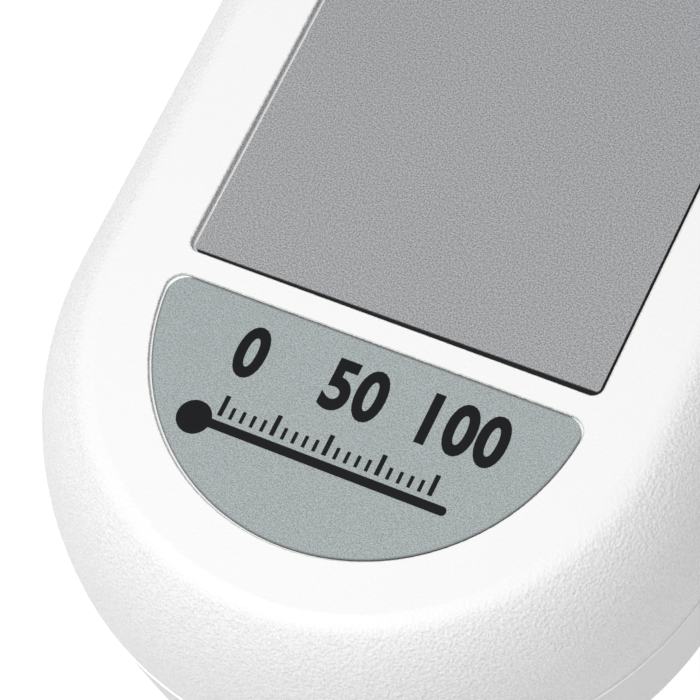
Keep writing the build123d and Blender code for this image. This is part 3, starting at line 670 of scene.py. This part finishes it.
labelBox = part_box("name_label")
labelMiddle = (labelBox[0].x + labelBox[1].x) / 2
labelChord = labelBox[1].y
labelPrint = {
    "ink": 0.02,
    "numbers": (("0", -11.0), ("50", 0.0), ("100", 11.0)),   # what and where along the scale
    "numberSize": 7.1,
    "narrowing": 0.84,
    "boldness": 0.26,
    "spacing": 1.08,
    "numberDrop": 5.35,
    "tubeDrop": 13.1,
    "tubeEnd": 13.2,
    "tubeWidth": 0.95,
    "bulb": 1.75,
    "tickPitch": 1.1,
    "tickCount": 21,
    "tickGroup": 5,       # every fifth tick is long and wider
    "tickWidth": 0.36,
    "tickWiden": 1.35,
    "tickCorner": 0.06,
    "tickShort": 1.25,
    "tickLong": 2.2,
    "tickGap": 0.5,
}


def makeLabelPrint(card):
    ink = card["ink"]
    top = labelBox[1].z + ink / 2 * mm
    pieces = []
    for text, along in card["numbers"]:
        number = flatWriting(text, card["numberSize"], card["boldness"], card["spacing"], ink)
        number.data.transform(Matrix.Diagonal((card["narrowing"], 1, 1, 1)))
        setPiece(number, (labelMiddle + along * mm, labelChord - card["numberDrop"] * mm, top))
        pieces.append(number)
    numbers = joinPieces("label_numbers", pieces)
    addPiece(numbers, "case", finishes["ink"])

    width = card["tubeWidth"]
    scaleY = labelChord - card["tubeDrop"] * mm
    tube = flatBar(2 * card["tubeEnd"], width, width * 0.45, ink)
    bulb = flatRound(card["bulb"], ink)
    movePiece(bulb, -card["tubeEnd"], 0, 0)
    finishModifier(bulb, "BOOLEAN", object=tube, operation="UNION", solver="EXACT")
    bpy.data.objects.remove(tube)
    setPiece(bulb, (labelMiddle, scaleY, top))
    pieces = [bulb]
    for index in range(card["tickCount"]):
        isLong = index % card["tickGroup"] == 0
        height = card["tickLong"] if isLong else card["tickShort"]
        widen = card["tickWiden"] if isLong else 1
        tick = flatBar(card["tickWidth"] * widen, height, card["tickCorner"], ink)
        along = (index - (card["tickCount"] - 1) / 2) * card["tickPitch"] * mm
        rise = (width / 2 + card["tickGap"] + height / 2) * mm
        setPiece(tick, (labelMiddle + along, scaleY + rise, top))
        pieces.append(tick)
    scale = joinPieces("label_scale", pieces)
    addPiece(scale, "case", finishes["ink"])


makeLabelPrint(labelPrint)
print("label print")


# Marks on the keys

keyMarks = {
    "ink": 0.02,
    "ring": 1.9,
    "line": 0.34,
    "arc": (40, 120, 300),      # sides, start and sweep in degrees
    "stroke": (1.1, 0.75),      # length and place, as shares of the ring
    "bar": (0.75, 3.2, 0.15),   # width, height, corner
    "barPlace": 0.95,
    "triangle": 1.25,
}


def keyTop(node):
    low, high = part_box(node)
    return Vector(((low.x + high.x) / 2, (low.y + high.y) / 2, high.z + keyMarks["ink"] / 2 * mm))


def flatTriangle(size, thickness, turn):
    selectNothing()
    bpy.ops.mesh.primitive_cylinder_add(vertices=3, radius=size * mm, depth=thickness * mm)
    triangle = settle(bpy.context.object)
    pickEdges(triangle, lambda one, two: abs(one.z - two.z) > thickness * mm * 0.5)
    bpy.ops.mesh.bevel(offset=size * 0.15 * mm, segments=3)
    bpy.ops.object.mode_set(mode="OBJECT")
    triangle.data.transform(Matrix.Rotation(turn, 4, "Z"))
    return triangle


def makeKeyMarks(card):
    ink, ring, line = card["ink"], card["ring"], card["line"]
    arc = flatRing(ring, ring - line, ink, *card["arc"])
    length, place = card["stroke"]
    stroke = flatBar(line, ring * length, line * 0.4, ink)
    movePiece(stroke, 0, ring * place, 0)
    power = joinPieces("power_mark", [arc, stroke])
    bars = []
    for side in (-1, 1):
        bars.append(flatBar(*card["bar"], ink))
        movePiece(bars[-1], side * card["barPlace"], 0, 0)
    hold = joinPieces("hold_mark", bars)
    triangles = []
    for side, turn in ((1, 0), (-1, math.pi)):
        triangles.append(flatTriangle(card["triangle"], ink, turn))
        movePiece(triangles[-1], 0, side * card["triangle"], 0)
    limits = joinPieces("max_min_mark", triangles)
    for mark, key in ((power, "power_key"), (hold, "hold_key"), (limits, "max_min_key")):
        setPiece(mark, keyTop(key))
        addPiece(mark, key, finishes["whiteInk"])


makeKeyMarks(keyMarks)
print("key marks")


# Reading on the display

displayCard = {
    "thickness": 0.02,
    "digitWidth": 4.6,
    "digitHeight": 9.6,
    "stroke": 1.0,
    "slant": 0.09,
    "pitch": 6.6,
    "reading": "2137",
    "pointAfter": 2,
    "round": 0.42,            # corner as a share of the stroke
    "levelFill": 0.92,        # share of the room that a level or upright segment takes
    "postFill": 0.88,
    "spread": 0.1,            # the posts stand this much further out
    "start": 3.4,             # left of the middle of four digits
    "drop": -0.8,
    "pointRoom": 1.4,
    "pointSize": 1.1,
    "pointCorner": 0.4,
    "unit": (2.4, 1.6, 0.5),  # along after the last digit, up, size
    "degree": (0.1, 4.0),
    "degreeRing": (0.75, 0.4),
    "degreeSides": 24,
}
segmentTable = {"0": "abcdef", "1": "bc", "2": "abged", "3": "abgcd", "7": "abc", "C": "afed"}


def makeReading(card):
    low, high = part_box("lcd_glass")
    middle = (low + high) / 2
    stroke, thickness = card["stroke"], card["thickness"]
    top = high.z + thickness / 2 * mm
    across = card["digitWidth"] - stroke
    upright = card["digitHeight"] / 2
    level = flatBar(across * card["levelFill"], stroke, stroke * card["round"], thickness)
    post = flatBar(stroke, upright * card["postFill"], stroke * card["round"], thickness)
    side = across / 2 + card["spread"]
    places = {
        "a": (level, 0, upright),
        "g": (level, 0, 0),
        "d": (level, 0, -upright),
        "f": (post, -side, upright / 2),
        "b": (post, side, upright / 2),
        "e": (post, -side, -upright / 2),
        "c": (post, side, -upright / 2),
    }
    pieces = []

    def digit(sign, x, y, size):
        for name in segmentTable[sign]:
            bar, dx, dy = places[name]
            twin = copyPiece(bar)
            movePiece(twin, dx, dy, 0)
            twin.data.transform(Matrix.Diagonal((size, size, 1, 1)))
            movePiece(twin, x, y, 0)
            pieces.append(twin)

    start = -1.5 * card["pitch"] - card["start"]
    end = start + len(card["reading"]) * card["pitch"]
    for index, sign in enumerate(card["reading"]):
        extra = card["pointRoom"] if index >= card["pointAfter"] else 0
        digit(sign, start + index * card["pitch"] + extra, card["drop"], 1.0)
    along, up, size = card["unit"]
    digit("C", end + along, up, size)
    point = flatBar(card["pointSize"], card["pointSize"], card["pointCorner"], thickness)
    pointPlace = start + (card["pointAfter"] - 0.5) * card["pitch"] + card["pointRoom"] / 2
    movePiece(point, pointPlace, card["drop"] - upright, 0)
    degree = flatRing(*card["degreeRing"], thickness, card["degreeSides"])
    movePiece(degree, end + card["degree"][0], card["degree"][1], 0)
    pieces += [point, degree]
    reading = joinPieces("display_reading", pieces)
    slanted = Matrix.Identity(4)
    slanted[0][1] = card["slant"]
    reading.data.transform(slanted)
    setPiece(reading, (middle.x, middle.y, top))
    for pattern in (level, post):
        bpy.data.objects.remove(pattern)
    addPiece(reading, "case", finishes["segmentInk"])


makeReading(displayCard)
print("display reading")


# Printed border on the film round the display, and blank fields on the rear label

def flatFrame(width, height, corner, line, thickness):  # a rounded frame by its inner edge
    frame = flatBar(width + 2 * line, height + 2 * line, corner + line, thickness)
    hole = flatBar(width, height, corner, 3 * thickness)
    finishModifier(frame, "BOOLEAN", object=hole, operation="DIFFERENCE", solver="EXACT")
    bpy.data.objects.remove(hole)
    return frame


borderCard = {
    "flange": 2.0,    # the window's rim under the film
    "clear": 0.12,
    "line": 1.3,
    "corner": 1.2,
    "ink": 0.015,
}


def makeDisplayBorder(card):
    low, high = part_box("display_window")
    inset = 2 * card["flange"] - 2 * card["clear"]
    width = (high.x - low.x) / mm - inset
    height = (high.y - low.y) / mm - inset
    border = flatFrame(width, height, card["corner"], card["line"], card["ink"])
    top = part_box("keypad_overlay")[1].z + card["ink"] / 2 * mm
    setPiece(border, ((low.x + high.x) / 2, (low.y + high.y) / 2, top))
    border.name = border.data.name = "display_border"
    addPiece(border, "case", finishes["borderInk"])


rearCard = {"line": 0.25, "corner": 0.6, "ink": 0.012, "margin": 2.0, "rows": 3, "rowGap": 1.2}


def makeRearFields(card):  # an outline with blank rows for a serial card
    low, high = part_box("rear_label")
    middle = (low + high) / 2
    width = (high.x - low.x) / mm - 2 * card["margin"]
    height = (high.y - low.y) / mm - 2 * card["margin"]
    bottom = low.z - card["ink"] / 2 * mm
    rowHeight = (height - (card["rows"] - 1) * card["rowGap"]) / card["rows"]
    pieces = []
    for index in range(card["rows"]):
        field = flatFrame(width, rowHeight - 2 * card["line"], card["corner"], card["line"], card["ink"])
        along = (index - (card["rows"] - 1) / 2) * (rowHeight + card["rowGap"]) * mm
        setPiece(field, (middle.x, middle.y + along, bottom))
        pieces.append(field)
    fields = joinPieces("rear_label_fields", pieces)
    addPiece(fields, "case", finishes["borderInk"])


makeDisplayBorder(borderCard)
makeRearFields(rearCard)
print("display border and rear label fields")
